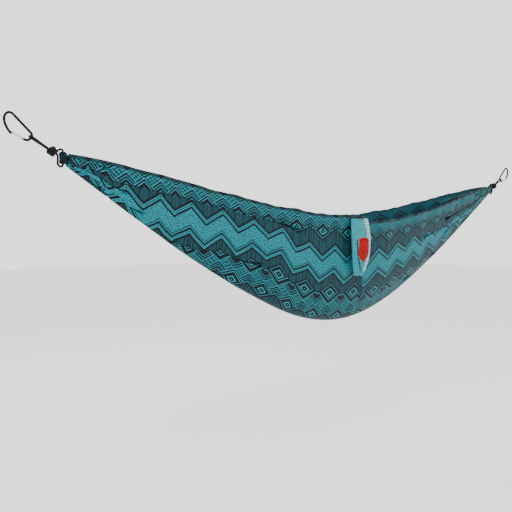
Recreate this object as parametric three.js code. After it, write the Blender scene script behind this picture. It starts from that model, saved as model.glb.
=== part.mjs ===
// Gathered-end camping hammock, hung level between two points, with its stuff sack.
// Millimetres, +Z up. X runs from the left hang point to the right one, -Y is the sack's side.
// The origin is the left hang point: the crown of the left carabiner, where a tree strap bears.
import * as THREE from 'three';

// ---- Driving dimensions -----------------------------------------------------------------
const span = 2700;                 // between the two gathered ends of the cloth
const sagBottom = 653;             // lowest line of the bed, below the gathered ends
const sagEdge = 175;               // near edge at the middle, below the gathered ends
const farEdgeRise = 2;             // the far edge hangs this much higher, with no sack on it
const bellyHalfWidth = 105;        // half the widest section, at the middle
const bunchHalfWidth = 14;         // half the gathered bundle's width
const bunchHalfHeight = 15;        // half the gathered bundle's height
const sagRounding = 0.44;          // how round the bottom line is at the middle, 0 is a V
const edgePower = 1.45;            // how late the edges drop away from the gathered ends
const widthPower = 1.7;            // how late the bed widens away from the gathered ends
const wrapMiddle = 88;             // degrees of an ellipse from the bottom line to an edge
const wrapEnd = 92;                // the same at the gathered ends
const clothThick = 2.4;
const hemThick = 4.4;
const hemHeight = 13;
const sidePanelDrop = 66;          // side panel and hem together, from the edge to the seam
const gap = 0.3;                   // clearance that touching pieces keep

const channelHeight = 42;          // sewn channel at each end, scrunched along its cord
const channelHalfX = 13;
const channelHalfY = 15;
const channelCentreX = 6;
const channelSlack = 1.8;          // round the cord, so that it turns freely in the channel
const clothStartX = channelCentreX + channelHalfX + 1.5;
const pleats = 11;
const pleatDepth = 0.07;            // of the channel's radius

const cordRadius = 3.6;
const strandHalfGap = 3.9;         // from the middle of the loop to each strand
const pullSlope = 30;              // degrees, how steeply the suspension pulls
const cordReach = 118;             // from the gathered end to the carabiner's bar
const knotReach = 37;
const knotTurns = 3;
const knotTurnRadius = 3.6;
const knotRadius = 11.4;           // to the middle of a turn
const knotBore = 9.4;
const spineSlope = 43;             // degrees, the carabiner's back
const barRadius = 4.2;
const wireRadius = 1.4;
// One leg of the wire gate: along the carabiner's back, out from it, and in to the middle.
const gateLeg = [[15, 32, 0], [24, 35.5, 0], [38, 40.5, 0.2], [50, 42.8, 0.7], [56, 43.4, 2.6]];
// The strand that goes from the knot over the bunch, down its channel and back up outside.
const channelRun = [
  [-16, 3.2, 17], [-11, 2, 24], [-3, 0.5, 28.2], [3.5, 0, 27.4], [channelCentreX, 0, 21],
  [channelCentreX, 0, 0], [channelCentreX, 0, -21], [2.5, 0, -28], [-6, 0, -28.2],
  [-13.2, -0.5, -21.5], [-13.6, -1.5, -9], [-14.2, -3, 1], [-16.8, -4, 9],
];

const sackX = 1384;                // middle of the stuff sack along the near edge
const sackTopZ = -190;
const sackHeight = 258;
const sackHalfWidth = 64;
const sackWidest = 0.35;           // where the sack is widest, as a share of its height
const sackTopShare = 0.88;         // width at the sewn top, as a share of the widest
const sackMouthShare = 0.48;       // the same at the drawn-in mouth
const sackDepth = 36;
const sackFlatDepth = 9;           // depth where the sack is sewn flat
const sackThick = 1.6;
const sackGap = 5;                 // clearance between the sack's back and the bed
const sackFollow = 0.15;           // it hangs nearly plumb: its share of the bed's curve under it
const gussetTo = 66;               // degrees round the oval, 0 is the sack's right side
const mouthFrom = 0.937;           // where the mouth's channel starts, as a share of the height
const tabWidth = 66;
const tabTop = 0.33;               // where the tab starts, as a share of the sack's height
const tabLength = 0.43;            // and how much of the height it covers
const tabThick = 1.4;
const tabLift = 0.5;               // clearance between the tab and the sack's front
const tabPointFrom = 0.62;         // where the tab's point starts, as a share of its length
const eyeletRadius = 8;
const eyeletHole = 3.2;
const eyeletThick = 2.4;
const mouthLift = 0.6;             // the mouth's channel stands this proud of the sack
const mouthThick = 3.2;
const drawcordRadius = 1.5;
// The drawcord's run: share of the sack's height, degrees round the oval, clearance.
const drawcordRun = [
  [0.37, 131, 0.8], [0.42, 131, 0.8], [0.5, 130, 0.8], [0.6, 128, 0.8], [0.68, 124, 0.9],
  [0.76, 116, 0.9], [0.84, 106, 0.9], [0.905, 99, 0.8],
];

// ---- Small helpers ----------------------------------------------------------------------
const rad = THREE.MathUtils.degToRad;
const mix = THREE.MathUtils.lerp;
const finish = (color, roughness, metalness = 0) =>
  new THREE.MeshStandardMaterial({ color, roughness, metalness });

const printedCloth = finish('#2f8f94', 0.62);
const printedClothDark = finish('#1d5f6c', 0.66);
const stripedCloth = finish('#9fd0cf', 0.7);
const blackCord = finish('#17181a', 0.85);
const anodised = finish('#1b1c1f', 0.38, 0.85);
const steelWire = finish('#a9adb0', 0.3, 0.95);
const redTab = finish('#d7262b', 0.55);
const blackMetal = finish('#121212', 0.4, 0.6);

const root = new THREE.Group();

function addPart(parent, name, geometry, material) {
  geometry.computeVertexNormals();
  const mesh = new THREE.Mesh(geometry, material);
  mesh.name = name;
  parent.add(mesh);
  return mesh;
}

// A closed body from rings of points. Each ring is one closed outline of 2n points, whose
// first n run along one side and whose last n run back along the other.
function loftRings(rings) {
  const count = rings[0].length;
  const positions = rings.flat().flatMap((p) => [p.x, p.y, p.z]);
  const index = [];
  for (let i = 0; i < rings.length - 1; i++) {
    for (let j = 0; j < count; j++) {
      const a = i * count + j;
      const b = i * count + (j + 1) % count;
      index.push(a, b, b + count, a, b + count, a + count);
    }
  }
  for (let j = 0; j < count / 2 - 1; j++) {
    const across = count - 1 - j;
    index.push(j, across, across - 1, j, across - 1, j + 1);
    const last = (rings.length - 1) * count;
    index.push(last + j, last + across - 1, last + across, last + j, last + j + 1, last + across - 1);
  }
  if (signedVolume(positions, index) < 0) index.reverse();
  const geometry = new THREE.BufferGeometry();
  geometry.setAttribute('position', new THREE.Float32BufferAttribute(positions, 3));
  geometry.setIndex(index);
  return geometry;
}

function signedVolume(positions, index) {
  const point = (i) => new THREE.Vector3().fromArray(positions, 3 * i);
  let sum = 0;
  for (let i = 0; i < index.length; i += 3) {
    sum += point(index[i]).dot(point(index[i + 1]).cross(point(index[i + 2])));
  }
  return sum;
}

// A round tube along a curve, closed at both ends.
function tube(curve, radius, sides, steps) {
  const section = new THREE.Shape();
  for (let i = 0; i < sides; i++) {
    const angle = (2 * Math.PI * i) / sides;
    const x = radius * Math.cos(angle);
    const y = radius * Math.sin(angle);
    if (i === 0) section.moveTo(x, y);
    else section.lineTo(x, y);
  }
  section.closePath();
  return new THREE.ExtrudeGeometry(section, { steps, extrudePath: curve, bevelEnabled: false });
}

// A flat outline, drawn in a plane of the model, as a curve in space.
class CurveInPlane extends THREE.Curve {
  constructor(path, origin, along, across) {
    super();
    Object.assign(this, { path, origin, along, across });
  }

  getPoint(t, target = new THREE.Vector3()) {
    const p = this.path.getPoint(t);
    return target.copy(this.origin).addScaledVector(this.along, p.x).addScaledVector(this.across, p.y);
  }
}

// ---- The bed: one surface, cut into panels ------------------------------------------------
// share 0 and 1 are the two gathered ends.
const bow = (share) => Math.sin(Math.PI * share);

function bottomLine(share) {
  const away = Math.abs(2 * share - 1);
  const rise = (Math.hypot(away, sagRounding) - sagRounding) / (Math.hypot(1, sagRounding) - sagRounding);
  return mix(-sagBottom, -bunchHalfHeight, rise);
}

function edgeLine(share, far) {
  const drop = (sagEdge + bunchHalfHeight) * bow(share) ** edgePower;
  return bunchHalfHeight - drop + (far ? farEdgeRise * bow(share) : 0);
}

// The section at one place: angle 0 is the bottom line, the wrap angle is the edge.
function section(share, far) {
  const wrap = rad(mix(wrapEnd, wrapMiddle, bow(share)));
  const low = bottomLine(share);
  const tall = (edgeLine(share, far) - low) / (1 - Math.cos(wrap));
  const wide = mix(bunchHalfWidth, bellyHalfWidth, bow(share) ** widthPower);
  const out = far ? 1 : -1;
  return {
    wrap,
    at: (angle) => [out * wide * Math.sin(angle), low + tall * (1 - Math.cos(angle))],
    // unit vector out of the bed, and the length of cloth per radian
    normal: (angle) => {
      const dy = wide * Math.cos(angle);
      const dz = tall * Math.sin(angle);
      const length = Math.hypot(dy, dz);
      return [(out * dz) / length, -dy / length, length];
    },
  };
}

// The angle that lies a length of cloth below the edge.
function angleBelowEdge(part, drop) {
  const step = 0.01;
  let angle = part.wrap;
  let left = drop;
  while (left > 0 && angle > 0.2) {
    const length = part.normal(angle)[2] * step;
    angle -= step * Math.min(1, left / length);
    left -= length;
  }
  return angle;
}

// Depth of the hem and of the seam below the edge: both shrink into the gathered ends.
const hemDrop = (share) => mix(6, hemHeight, bow(share) ** 0.5);
const seamDrop = (share) => mix(13, sidePanelDrop, bow(share) ** 0.7);

const stationCount = 38;
const stations = [];
for (let i = 0; i <= stationCount; i++) {
  const even = i / stationCount;
  const eased = (1 - Math.cos(Math.PI * even)) / 2;
  stations.push(mix(clothStartX, span - clothStartX, mix(even, eased, 0.5)) / span);
}

// One panel: from a first to a last place across the section, as a sheet of some thickness.
function panel(thick, columns, place) {
  const rings = stations.map((share) => {
    const outer = [];
    const inner = [];
    for (let j = 0; j <= columns; j++) {
      const { part, angle } = place(share, j / columns);
      const [y, z] = part.at(angle);
      const [ny, nz] = part.normal(angle);
      const half = thick / 2;
      outer.push(new THREE.Vector3(share * span, y + ny * half, z + nz * half));
      inner.unshift(new THREE.Vector3(share * span, y - ny * half, z - nz * half));
    }
    return [...outer, ...inner];
  });
  return loftRings(rings);
}

function acrossCentre(share, t) {
  const far = t > 0.5;
  const part = section(share, far);
  const seam = angleBelowEdge(part, seamDrop(share) + gap);
  return { part, angle: Math.abs(2 * t - 1) * seam };
}

const acrossSide = (far) => (share, t) => {
  const part = section(share, far);
  const top = angleBelowEdge(part, hemDrop(share) + gap);
  const bottom = angleBelowEdge(part, seamDrop(share) - gap);
  return { part, angle: mix(bottom, top, t) };
};

const acrossHem = (far) => (share, t) => {
  const part = section(share, far);
  return { part, angle: mix(angleBelowEdge(part, hemDrop(share) - gap), part.wrap, t) };
};

// ---- Ends: channel, cord loop, knot and carabiner ---------------------------------------
// Places at an end are given for the left one; the right end mirrors them along X.
const pull = new THREE.Vector3(-Math.cos(rad(pullSlope)), 0, Math.sin(rad(pullSlope)));
const spine = new THREE.Vector3(-Math.cos(rad(spineSlope)), 0, Math.sin(rad(spineSlope)));
const gateSide = new THREE.Vector3(-Math.sin(rad(spineSlope)), 0, -Math.cos(rad(spineSlope)));
const barContact = pull.clone().multiplyScalar(cordReach);
const cornerRadius = 12;
const contactTurn = rad(180 + spineSlope - pullSlope);

function mirrorer(right) {
  return (x, y, z) => new THREE.Vector3(right ? span - x : x, y, z);
}

// The sewn channel: a scrunched sleeve round the upright run of the cord.
function channelGeometry(place) {
  const outline = new THREE.Shape();
  const points = pleats * 6;
  for (let i = 0; i < points; i++) {
    const angle = (2 * Math.PI * i) / points;
    const ruffle = 1 + pleatDepth * Math.cos(pleats * angle);
    const x = (channelHalfX - 1) * ruffle * Math.cos(angle);
    const y = (channelHalfY - 1) * ruffle * Math.sin(angle);
    if (i === 0) outline.moveTo(x, y);
    else outline.lineTo(x, y);
  }
  outline.closePath();
  const hole = new THREE.Path();
  hole.absarc(0, 0, cordRadius + channelSlack, 0, 2 * Math.PI, true);
  outline.holes.push(hole);
  const geometry = new THREE.ExtrudeGeometry(outline, {
    depth: channelHeight, bevelEnabled: false, curveSegments: 6,
  });
  const centre = place(channelCentreX, 0, -channelHeight / 2);
  geometry.translate(centre.x, centre.y, centre.z);
  return geometry;
}

// The cord loop: out of the knot, round the carabiner's bar, back through the knot, down
// through the channel and up its outside into the knot again.
function cordCurve(place) {
  const round = barRadius + cordRadius + 0.4;
  const alongPull = (reach, y) => {
    const p = pull.clone().multiplyScalar(reach);
    return place(p.x, y, p.z);
  };
  // one strand from the knot out to the bar: how far along the pull, how far from the middle
  const strand = [
    [knotReach + 8, strandHalfGap], [62, strandHalfGap + 0.6], [92, strandHalfGap + 2.4],
    [cordReach - 4, round - 0.3],
  ];
  const points = [alongPull(knotReach - 5, -strandHalfGap)];
  points.push(...strand.map(([reach, y]) => alongPull(reach, -y)));
  for (let i = 1; i < 8; i++) {
    const angle = rad(-90 + (180 * i) / 8);
    points.push(alongPull(cordReach + round * Math.cos(angle), round * Math.sin(angle)));
  }
  points.push(...strand.reverse().map(([reach, y]) => alongPull(reach, y)));
  points.push(alongPull(knotReach - 3, strandHalfGap), alongPull(knotReach - 10, strandHalfGap));
  points.push(...channelRun.map(([x, y, z]) => place(x, y, z)));
  points.push(alongPull(knotReach - 9, -strandHalfGap), alongPull(knotReach - 6.5, -strandHalfGap));
  return new THREE.CatmullRomCurve3(points);
}

// The knot: a barrel of turns round the two strands.
function knotGeometry(place, right) {
  const half = knotTurns * knotTurnRadius;
  const profile = [new THREE.Vector2(knotBore, -half)];
  for (let i = 0; i < knotTurns; i++) {
    const middle = (2 * i + 1 - knotTurns) * knotTurnRadius;
    for (const angle of [-72, -36, 0, 36, 72]) {
      profile.push(new THREE.Vector2(knotRadius + knotTurnRadius * Math.cos(rad(angle)),
        middle + knotTurnRadius * Math.sin(rad(angle))));
    }
  }
  profile.push(new THREE.Vector2(knotBore, half), profile[0].clone());
  const geometry = new THREE.LatheGeometry(profile, 14);
  const axis = right ? new THREE.Vector3(-pull.x, 0, pull.z) : pull;
  geometry.applyQuaternion(new THREE.Quaternion().setFromUnitVectors(new THREE.Vector3(0, 1, 0), axis));
  const centre = place(pull.x * knotReach, 0, pull.z * knotReach);
  geometry.translate(centre.x, centre.y, centre.z);
  return geometry;
}

// The carabiner: a D of round bar, open where the wire gate closes it. x runs along the
// back of the D, y towards the gate, from the corner at the cord.
function carabinerOutline() {
  const outline = new THREE.Path();
  outline.moveTo(52, 50);
  outline.bezierCurveTo(76, 50, 98, 40, 105, 26);
  outline.bezierCurveTo(111, 13, 105, 0, 90, 0);
  outline.lineTo(cornerRadius, 0);
  outline.absarc(cornerRadius, cornerRadius, cornerRadius, rad(270), rad(180), true);
  outline.bezierCurveTo(0, 25, 6, 33, 20, 33);
  return outline;
}

// The corner of the D whose bar lies square to the pull sits on the cord.
function carabinerOrigin() {
  const x = cornerRadius + cornerRadius * Math.cos(contactTurn);
  const y = cornerRadius + cornerRadius * Math.sin(contactTurn);
  return barContact.clone().addScaledVector(spine, -x).addScaledVector(gateSide, -y);
}

function inCarabiner(place, x, y, out = 0) {
  const p = carabinerOrigin().addScaledVector(spine, x).addScaledVector(gateSide, y);
  return place(p.x, out, p.z);
}

function frameCurve(place) {
  const origin = inCarabiner(place, 0, 0);
  const along = inCarabiner(place, 1, 0).sub(origin);
  const across = inCarabiner(place, 0, 1).sub(origin);
  return new CurveInPlane(carabinerOutline(), origin, along, across);
}

// The wire gate: one wire bent into a narrow U, its ends beside the bar at the hinge.
function gateCurve(place) {
  const beside = barRadius + wireRadius + gap;
  const points = [];
  for (const side of [-1, 1]) {
    const leg = gateLeg.map(([x, y, inward]) => inCarabiner(place, x, y, side * (beside - inward)));
    points.push(...(side < 0 ? leg : leg.reverse()));
  }
  return new THREE.CatmullRomCurve3(points);
}

// ---- The stuff sack ---------------------------------------------------------------------
// down runs from 0 at the sewn top to 1 at the mouth.
function sackHalfWidthAt(down) {
  const above = down < sackWidest;
  const away = above ? 1 - down / sackWidest : (down - sackWidest) / (1 - sackWidest);
  return sackHalfWidth * mix(1, above ? sackTopShare : sackMouthShare, away ** 2);
}

function sackDepthAt(down) {
  return mix(sackFlatDepth, sackDepth, Math.sin(Math.PI * Math.min(1, down * 0.9 + 0.06)));
}

// The bed's near face at a height, so that the sack can lie on it.
function nearFace(z) {
  const part = section(sackX / span, false);
  const low = part.at(0)[1];
  const tall = (part.at(part.wrap)[1] - low) / (1 - Math.cos(part.wrap));
  const angle = Math.acos(THREE.MathUtils.clamp(1 - (z - low) / tall, -1, 1));
  return part.at(Math.min(angle, part.wrap))[0];
}

// A point on the sack's oval section: angle 0 is its right side, 90 its front.
function sackPoint(down, angle, grow) {
  const z = sackTopZ - sackHeight * down;
  const depth = sackDepthAt(down);
  const back = mix(nearFace(sackTopZ), nearFace(z), sackFollow) - clothThick / 2 - sackGap;
  const wide = sackHalfWidthAt(down) + grow;
  const x = sackX + wide * Math.cos(angle);
  const flat = Math.sin(angle) > 0 ? 1 : 0.75;
  return new THREE.Vector3(x, back - depth / 2 - (depth / 2 + grow) * flat * Math.sin(angle), z);
}

function sackStrip({ from, to, rows, columns, thick, lift = 0, start = () => 0, end = () => 180 }) {
  const rings = [];
  for (let i = 0; i <= rows; i++) {
    const down = mix(from, to, i / rows);
    const outer = [];
    const inner = [];
    for (let j = 0; j <= columns; j++) {
      const angle = rad(mix(start(down), end(down), j / columns));
      outer.push(sackPoint(down, angle, lift));
      inner.unshift(sackPoint(down, angle, lift - thick));
    }
    rings.push([...outer, ...inner]);
  }
  return loftRings(rings);
}

// Half the angle that the tab covers at a height: a straight-sided tongue with a point.
function tabHalfAngle(down) {
  const t = (down - tabTop) / tabLength;
  const shoulder = t < 0.08 ? mix(0.86, 1, t / 0.08) : 1;
  const point = Math.cos((Math.PI / 2) * (Math.max(0, t - tabPointFrom) / 0.4));
  const half = (tabWidth / 2) * shoulder * point;
  return THREE.MathUtils.radToDeg(Math.asin(Math.min(0.95, half / sackHalfWidthAt(down))));
}

function drawcordCurve() {
  return new THREE.CatmullRomCurve3(drawcordRun.map(
    ([down, angle, lift]) => sackPoint(down, rad(angle), drawcordRadius + lift),
  ));
}

function ringGeometry(outer, inner, thick) {
  const profile = [
    new THREE.Vector2(inner, 0), new THREE.Vector2(outer, 0), new THREE.Vector2(outer, thick * 0.6),
    new THREE.Vector2(outer - thick * 0.4, thick), new THREE.Vector2(inner, thick),
    new THREE.Vector2(inner, 0),
  ];
  return new THREE.LatheGeometry(profile, 20);
}

// ---- Assembly ---------------------------------------------------------------------------
addPart(root, 'center_panel', panel(clothThick, 12, acrossCentre), printedCloth);
for (const [name, far] of [['near', false], ['far', true]]) {
  addPart(root, `${name}_side_panel`, panel(clothThick, 3, acrossSide(far)), printedClothDark);
  addPart(root, `${name}_edge_hem`, panel(hemThick, 1, acrossHem(far)), printedClothDark);
}

for (const [name, right] of [['left', false], ['right', true]]) {
  const place = mirrorer(right);
  addPart(root, `${name}_end_channel`, channelGeometry(place), printedClothDark);
  addPart(root, `${name}_suspension_cord`, tube(cordCurve(place), cordRadius, 8, 76), blackCord);
  addPart(root, `${name}_knot`, knotGeometry(place, right), blackCord);
  addPart(root, `${name}_carabiner_frame`, tube(frameCurve(place), barRadius, 10, 48), anodised);
  addPart(root, `${name}_wire_gate`, tube(gateCurve(place), wireRadius, 8, 36), steelWire);
}

const sackBody = { from: 0, to: 0.93, rows: 14, thick: sackThick };
addPart(root, 'sack_front', sackStrip({
  ...sackBody, columns: 8, start: () => gussetTo + 1, end: () => 179,
}), printedCloth);
addPart(root, 'sack_gusset', sackStrip({
  ...sackBody, columns: 4, start: () => 1, end: () => gussetTo - 1,
}), stripedCloth);
addPart(root, 'sack_back', sackStrip({
  ...sackBody, columns: 8, start: () => 181, end: () => 359,
}), printedClothDark);

// The mouth's drawcord channel is a ring of its own, so its outline closes on itself.
function mouthGeometry() {
  const sides = 20;
  const rings = [];
  for (let i = 0; i <= sides; i++) {
    const angle = (2 * Math.PI * i) / sides;
    const under = mouthLift - mouthThick;
    const corners = [[mouthFrom, mouthLift], [1, mouthLift], [1, under], [mouthFrom, under]];
    rings.push(corners.map(([down, grow]) => sackPoint(down, angle, grow)));
  }
  const positions = rings.slice(0, sides).flat().flatMap((p) => [p.x, p.y, p.z]);
  const index = [];
  for (let i = 0; i < sides; i++) {
    for (let j = 0; j < 4; j++) {
      const a = i * 4 + j;
      const b = i * 4 + (j + 1) % 4;
      const c = ((i + 1) % sides) * 4 + (j + 1) % 4;
      const d = ((i + 1) % sides) * 4 + j;
      index.push(a, b, c, a, c, d);
    }
  }
  if (signedVolume(positions, index) < 0) index.reverse();
  const geometry = new THREE.BufferGeometry();
  geometry.setAttribute('position', new THREE.Float32BufferAttribute(positions, 3));
  geometry.setIndex(index);
  return geometry;
}
addPart(root, 'sack_mouth_channel', mouthGeometry(), printedClothDark);
addPart(root, 'sack_drawcord', tube(drawcordCurve(), drawcordRadius, 8, 34), blackCord);
addPart(root, 'pull_tab', sackStrip({
  from: tabTop, to: tabTop + tabLength, rows: 12, columns: 6, thick: tabThick, lift: tabThick + tabLift,
  start: (down) => 90 - tabHalfAngle(down), end: (down) => 90 + tabHalfAngle(down),
}), redTab);

const eyeletDown = tabTop + tabLength * tabPointFrom;
const eyelet = ringGeometry(eyeletRadius, eyeletHole, eyeletThick);
const eyeletAt = sackPoint(eyeletDown, rad(90), tabThick + tabLift + gap + 0.2);
const faceUp = sackPoint(eyeletDown - 0.04, rad(90), 0)
  .sub(sackPoint(eyeletDown + 0.04, rad(90), 0)).normalize();
const faceOut = new THREE.Vector3(1, 0, 0).cross(faceUp);
eyelet.applyQuaternion(new THREE.Quaternion().setFromUnitVectors(new THREE.Vector3(0, 1, 0), faceOut));
eyelet.translate(eyeletAt.x, eyeletAt.y, eyeletAt.z);
addPart(root, 'tab_eyelet', eyelet, blackMetal);

// The whole object is moved so that the left hang point is the origin: it lies inside the
// crown of the carabiner, where the strap's loop bears on the bar.
const hangPoint = inCarabiner(mirrorer(false), 103 - barRadius, 14);
root.position.copy(hangPoint).negate();

export default root;
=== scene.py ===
import math

import bmesh
import bpy
import numpy as np
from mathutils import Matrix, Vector


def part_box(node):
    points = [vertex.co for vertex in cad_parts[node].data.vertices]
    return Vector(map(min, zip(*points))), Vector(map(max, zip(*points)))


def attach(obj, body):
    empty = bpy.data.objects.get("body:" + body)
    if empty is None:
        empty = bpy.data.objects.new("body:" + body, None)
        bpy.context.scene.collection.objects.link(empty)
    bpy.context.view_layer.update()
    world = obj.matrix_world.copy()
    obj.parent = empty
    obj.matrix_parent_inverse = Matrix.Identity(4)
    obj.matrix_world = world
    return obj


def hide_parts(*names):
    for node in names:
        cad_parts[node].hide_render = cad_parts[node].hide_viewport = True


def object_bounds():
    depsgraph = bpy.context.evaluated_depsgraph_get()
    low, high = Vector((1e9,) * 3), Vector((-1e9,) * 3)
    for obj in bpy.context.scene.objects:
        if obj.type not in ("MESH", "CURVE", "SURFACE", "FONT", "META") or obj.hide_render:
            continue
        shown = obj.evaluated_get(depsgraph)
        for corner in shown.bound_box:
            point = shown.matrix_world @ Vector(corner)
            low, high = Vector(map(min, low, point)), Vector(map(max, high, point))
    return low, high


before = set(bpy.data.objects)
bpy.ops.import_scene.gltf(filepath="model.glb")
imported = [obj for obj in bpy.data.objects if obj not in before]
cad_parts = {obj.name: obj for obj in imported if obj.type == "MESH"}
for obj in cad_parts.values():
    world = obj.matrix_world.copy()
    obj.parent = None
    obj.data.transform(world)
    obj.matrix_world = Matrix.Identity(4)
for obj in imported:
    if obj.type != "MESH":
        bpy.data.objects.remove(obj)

cad_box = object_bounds()

# ---- The set: floor, studio light and camera --------------------------------------------
# The hammock hangs level over a pale painted floor in a white studio. Soft boxes stand to the
# left, in front and behind, so its shape reads without hard shadows.


def linear(hex_colour):
    """An sRGB hex colour as the linear RGBA that the shaders take."""
    channels = [int(hex_colour[i:i + 2], 16) / 255 for i in (1, 3, 5)]
    return (*[c / 12.92 if c < 0.04045 else ((c + 0.055) / 1.055) ** 2.4 for c in channels], 1)


def add_node(tree, kind, inputs=(), **settings):
    """Adds one node: settings are its own fields, inputs its sockets' values or links."""
    node = tree.nodes.new(kind)
    for field, value in settings.items():
        setattr(node, field, value)
    for socket, value in dict(inputs).items():
        if isinstance(value, bpy.types.NodeSocket):
            tree.links.new(value, node.inputs[socket])
        else:
            node.inputs[socket].default_value = value
    return node


def new_material(name):
    """A material without a surface yet: its node tree and its output are what shaders join."""
    material = bpy.data.materials.new(name)
    material.use_nodes = True
    material.node_tree.nodes.clear()
    output = add_node(material.node_tree, "ShaderNodeOutputMaterial")
    return material, material.node_tree, output.inputs["Surface"]


def mesh_piece(name, points, faces, material, cloth_uv=None):
    """A smooth mesh with one material and, if given, its flat pattern's place in metres."""
    mesh = bpy.data.meshes.new(name)
    mesh.from_pydata(np.asarray(points, dtype=float).reshape(-1, 3).tolist(), [], faces)
    if cloth_uv is not None:
        layer = mesh.uv_layers.new(name="cloth")
        corner_points = np.zeros(len(mesh.loops), dtype=np.int32)
        mesh.loops.foreach_get("vertex_index", corner_points)
        flat = np.asarray(cloth_uv, dtype=np.float32).reshape(-1, 2)
        layer.data.foreach_set("uv", flat[corner_points].ravel())
    shell = bmesh.new()
    shell.from_mesh(mesh)
    bmesh.ops.recalc_face_normals(shell, faces=shell.faces)
    shell.to_mesh(mesh)
    shell.free()
    mesh.polygons.foreach_set("use_smooth", [True] * len(mesh.polygons))
    mesh.materials.append(material)
    piece = bpy.data.objects.new(name, mesh)
    bpy.context.scene.collection.objects.link(piece)
    return piece


def grid_faces(rows, columns, closed=False, capped=False):
    """The quads of a grid of points; a closed grid's last column joins its first."""
    faces = [
        (i * columns + j, i * columns + (j + 1) % columns,
         (i + 1) * columns + (j + 1) % columns, (i + 1) * columns + j)
        for i in range(rows - 1) for j in range(columns if closed else columns - 1)
    ]
    if capped:
        faces += [tuple(range(columns)), tuple(range((rows - 1) * columns, rows * columns))]
    return faces


def noise(tree, places, scale, detail=2.0):
    """Fine cloudy noise at the given places."""
    cloud = add_node(tree, "ShaderNodeTexNoise", {"Vector": places, "Scale": scale, "Detail": detail})
    return cloud.outputs[0]


def bump(tree, height, strength, distance):
    """A surface's small relief, as a normal."""
    relief = add_node(tree, "ShaderNodeBump", {"Height": height, "Strength": strength, "Distance": distance})
    return relief.outputs[0]


def blend(tree, mask, first, second):
    """The first colour where the mask is 0, and the second where it is 1."""
    mix = add_node(tree, "ShaderNodeMix", {0: mask, 6: linear(first), 7: linear(second)}, data_type="RGBA")
    return mix.outputs[2]


def flat_places(tree):
    """A piece's own places on its flat pattern."""
    return add_node(tree, "ShaderNodeUVMap", uv_map="cloth").outputs[0]


def object_places(tree):
    """Places in a piece's own space, for pieces without a flat pattern."""
    return add_node(tree, "ShaderNodeTexCoord").outputs["Object"]


def coat(tree, surface, looks):
    """Gives a material its surface."""
    tree.links.new(add_node(tree, "ShaderNodeBsdfPrincipled", looks).outputs[0], surface)


def run_along(path):
    """How far along a path each of its points lies."""
    return np.concatenate([[0], np.cumsum(np.linalg.norm(np.diff(path, axis=0), axis=1))])


def unit(vectors):
    """The vectors' directions."""
    return vectors / np.linalg.norm(vectors, axis=1)[:, None]


def belongs(piece, body, node):
    """The piece rides on a body and stands for a CAD node, which it hides."""
    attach(piece, body)
    if node:
        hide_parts(node)
    return piece


left_channel_box = [Vector(corner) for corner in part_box("left_end_channel")]
right_channel_box = [Vector(corner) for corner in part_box("right_end_channel")]
channel_centre_x = 0.006
gather_left = sum(left_channel_box, Vector()) / 2 - Vector((channel_centre_x, 0, 0))
gather_right = sum(right_channel_box, Vector()) / 2 + Vector((channel_centre_x, 0, 0))
span = gather_right.x - gather_left.x
middle_x = (gather_left.x + gather_right.x) / 2

floor_drop = 0.65
floor_half = 16.0
floor_paint, tree, surface = new_material("pale_floor_paint")
coat(tree, surface, {"Base Color": linear("#ececec"), "Roughness": 0.9, "Specular IOR Level": 0.05})
corners = ((-1, -1), (1, -1), (1, 1), (-1, 1))
floor = mesh_piece("studio_floor", [
    (middle_x + x * floor_half, y * floor_half, cad_box[0][2] - floor_drop) for x, y in corners
], [(0, 1, 2, 3)], floor_paint)

studio = bpy.data.worlds.new("white_studio")
bpy.context.scene.world = studio
studio.use_nodes = True
studio.node_tree.nodes.clear()
walls = add_node(studio.node_tree, "ShaderNodeBackground", {"Color": (1, 1, 1, 1), "Strength": 1.9})
add_node(studio.node_tree, "ShaderNodeOutputWorld", {"Surface": walls.outputs[0]})

lights_drop = 0.3                  # the lights face a place this far under the gathers
bed_middle = (gather_left + gather_right) / 2 - Vector((0, 0, lights_drop))
for name, offset, power, size in (
    ("key_softbox", (-2.6, -2.2, 2.2), 90, 1.6),
    ("fill_softbox", (1.6, -3.4, 0.9), 15, 2.4),
    ("back_softbox", (0.4, 2.8, 2.2), 40, 2.4),
):
    light = bpy.data.lights.new(name, "AREA")
    light.energy = power
    light.size = size
    lamp = bpy.data.objects.new(name, light)
    lamp.location = bed_middle + Vector(offset)
    lamp.rotation_euler = (-Vector(offset)).to_track_quat("-Z", "Y").to_euler()
    bpy.context.scene.collection.objects.link(lamp)

# The eye stands beyond the left end, on the sack's side and a little under the gathers, so
# that the bed runs away from it.
camera_data = bpy.data.cameras.new("camera")
camera_data.sensor_width = 36.0
camera_data.lens = 49.2
camera = bpy.data.objects.new("camera", camera_data)
camera.location = gather_left + Vector((-1.059, -2.189, -0.240))
camera.rotation_euler = (math.radians(90 - 2.14), 0, math.radians(-41.3))
bpy.context.scene.collection.objects.link(camera)
bpy.context.scene.camera = camera

# ---- Suspension cords -------------------------------------------------------------------
# At each end one 7 mm braided nylon cord runs round the carabiner's corner, through its own
# knot, down inside the sewn channel and back up the outside of the bunch into the knot.

cord_radius = 0.0036
cord_step = 0.0007
pull_slope = math.radians(30)
cord_reach = 0.118
knot_reach = 0.037
bar_radius = 0.0042
strand_half_gap = 0.0039
braid_strand = 0.0027
cord_sides = 24


def mirrored(side, x, y, z):
    """A place at the left gather, or its mirror image at the right one."""
    return gather_left + Vector((x, y, z)) if side == "left" else gather_right + Vector((-x, y, z))


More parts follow.
